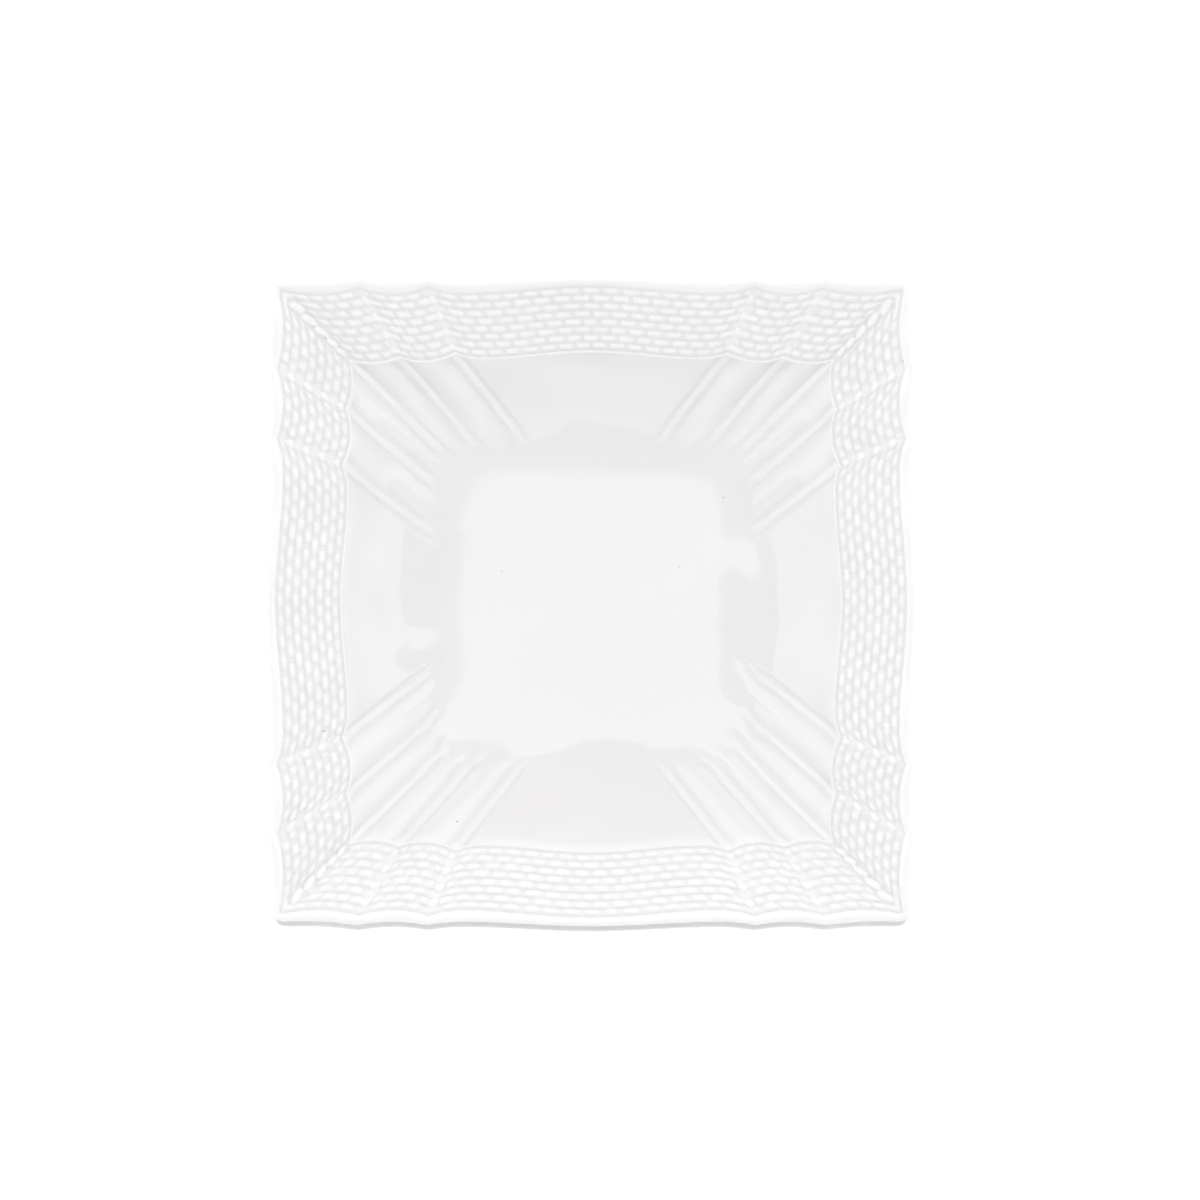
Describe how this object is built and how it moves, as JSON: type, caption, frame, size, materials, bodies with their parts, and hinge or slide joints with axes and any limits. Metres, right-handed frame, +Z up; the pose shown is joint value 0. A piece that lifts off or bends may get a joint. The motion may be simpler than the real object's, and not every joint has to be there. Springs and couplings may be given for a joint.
{
  "type": "square plate",
  "caption": "Square glazed porcelain serving plate with a scalloped lip, a basket-weave relief rim, a fluted well and a bare foot ring to stand on.",
  "frame": {"origin": "centre of the foot ring's standing face, on the table", "axes": "+Z up out of the well; +X and +Y at right angles to two sides of the plate"},
  "size_m": [0.28, 0.28, 0.042],
  "materials": {
    "glazed_porcelain": "glossy clear glaze over white porcelain",
    "bare_porcelain": "unglazed fired porcelain, fine matt grain"
  },
  "bodies": {
    "root": {"porcelain_body": "glazed_porcelain", "foot_ring": "bare_porcelain"}
  },
  "joints": []
}
